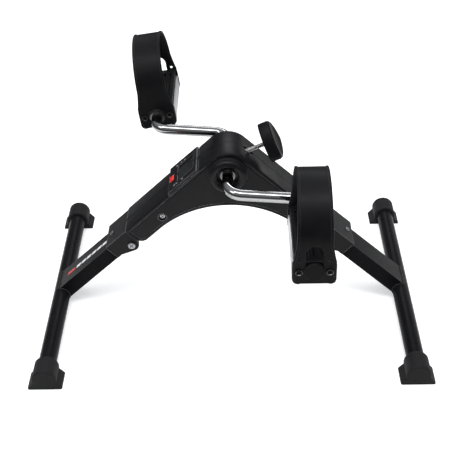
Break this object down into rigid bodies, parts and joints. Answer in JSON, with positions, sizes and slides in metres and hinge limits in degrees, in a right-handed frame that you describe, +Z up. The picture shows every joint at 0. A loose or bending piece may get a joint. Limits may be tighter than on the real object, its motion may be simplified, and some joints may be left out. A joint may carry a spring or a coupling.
{
  "type": "folding pedal exerciser",
  "caption": "Tabletop or floor pedal exerciser: an arched housing on folding legs with foot bars, strapped pedals on bent cranks, a tension knob and a small counter.",
  "frame": {"origin": "on the floor, midway between the two foot bars and between the two pedals", "axes": "+X from the left foot bar to the right one, +Y from the front pedal to the rear one, +Z up"},
  "size_m": [0.5028, 0.4358, 0.3125],
  "materials": {
    "shell_plastic": "black moulded plastic with a fine texture",
    "knob_plastic": "black moulded plastic, satin",
    "pedal_plastic": "black moulded plastic, satin",
    "strap_rubber": "black moulded rubber, soft sheen",
    "foot_rubber": "black rubber, matte",
    "painted_steel": "black powder coat, semi-gloss",
    "chrome": "polished chrome plate",
    "fastener_steel": "bright zinc plate",
    "zinc_steel": "dull zinc plate",
    "rail_steel": "bright rolled steel",
    "nylon": "natural nylon",
    "felt": "grey-brown felt",
    "magnet": "nickel plate",
    "lcd_window": "smoked clear plastic",
    "lcd_glass": "grey-green liquid crystal",
    "circuit_board": "green board",
    "battery_steel": "nickel plate",
    "red_plastic": "red moulded plastic"
  },
  "bodies": {
    "housing": {"front_shell": "shell_plastic", "rear_shell": "shell_plastic", "shell_screws": "fastener_steel", "front_bush": "nylon", "rear_bush": "nylon", "meter_case": "shell_plastic", "lcd_lens": "lcd_window", "lcd_panel": "lcd_glass", "meter_board": "circuit_board", "meter_battery": "battery_steel", "reed_sensor": "circuit_board", "tension_nut": "zinc_steel", "left_tongue": "zinc_steel", "right_tongue": "zinc_steel", "hinge_bolts": "fastener_steel", "hinge_nuts": "fastener_steel", "hinge_sleeves": "fastener_steel"},
    "crankset": {"front_crank": "chrome", "rear_crank": "chrome", "crank_drum": "zinc_steel", "drum_pins": "fastener_steel", "crank_washers": "chrome", "crank_magnet": "magnet", "pedal_washers": "chrome", "spindle_nuts": "fastener_steel"},
    "front_pedal": {"front_pedal_block": "pedal_plastic", "front_pedal_bushes": "nylon", "front_pedal_cap": "pedal_plastic", "front_pedal_rails": "rail_steel", "front_strap": "strap_rubber", "front_strap_studs": "chrome"},
    "rear_pedal": {"rear_pedal_block": "pedal_plastic", "rear_pedal_bushes": "nylon", "rear_pedal_cap": "pedal_plastic", "rear_pedal_rails": "rail_steel", "rear_strap": "strap_rubber", "rear_strap_studs": "chrome"},
    "brake": {"brake_shoe": "zinc_steel", "brake_pad": "felt"},
    "knob": {"tension_screw": "zinc_steel", "tension_knob": "knob_plastic"},
    "button": {"meter_button": "red_plastic"},
    "left_leg": {"left_foot_bar": "painted_steel", "left_leg_tube": "painted_steel", "left_bracket": "shell_plastic", "left_bracket_screw": "fastener_steel", "left_front_foot": "foot_rubber", "left_rear_foot": "foot_rubber"},
    "right_leg": {"right_foot_bar": "painted_steel", "right_leg_tube": "painted_steel", "right_bracket": "shell_plastic", "right_bracket_screw": "fastener_steel", "right_front_foot": "foot_rubber", "right_rear_foot": "foot_rubber"}
  },
  "joints": [
    {"name": "crank_turn", "type": "hinge", "parent": "housing", "child": "crankset", "pos_m": [0, 0, 0.2105], "axis": [0, 1, 0], "continuous": true},
    {"name": "front_pedal_turn", "type": "hinge", "parent": "crankset", "child": "front_pedal", "pos_m": [0.09464, -0.16, 0.20222], "axis": [0, 1, 0], "continuous": true},
    {"name": "rear_pedal_turn", "type": "hinge", "parent": "crankset", "child": "rear_pedal", "pos_m": [-0.09464, 0.16, 0.21878], "axis": [0, 1, 0], "continuous": true},
    {"name": "brake_slide", "type": "slide", "parent": "housing", "child": "brake", "axis": [0.9135, 0, 0.4067], "range_m": [-0.0015, 0.002]},
    {"name": "knob_turn", "type": "hinge", "parent": "brake", "child": "knob", "pos_m": [-0.00191, 0, 0.21479], "axis": [0.9135, 0, 0.4067], "range_deg": [-540, 720]},
    {"name": "button_press", "type": "slide", "parent": "housing", "child": "button", "axis": [0.6884, 0, -0.7254], "range_m": [0, 0.001], "stiffness_N_per_m": 400},
    {"name": "left_leg_fold", "type": "hinge", "parent": "housing", "child": "left_leg", "pos_m": [-0.12749, 0, 0.10151], "axis": [0, -1, 0], "range_deg": [0, 95]},
    {"name": "right_leg_fold", "type": "hinge", "parent": "housing", "child": "right_leg", "pos_m": [0.12749, 0, 0.10151], "axis": [0, 1, 0], "range_deg": [0, 95]}
  ],
  "couplings": [
    {"joint": "knob_turn", "follows": "brake_slide", "rad_per_m": 6283.2}
  ]
}
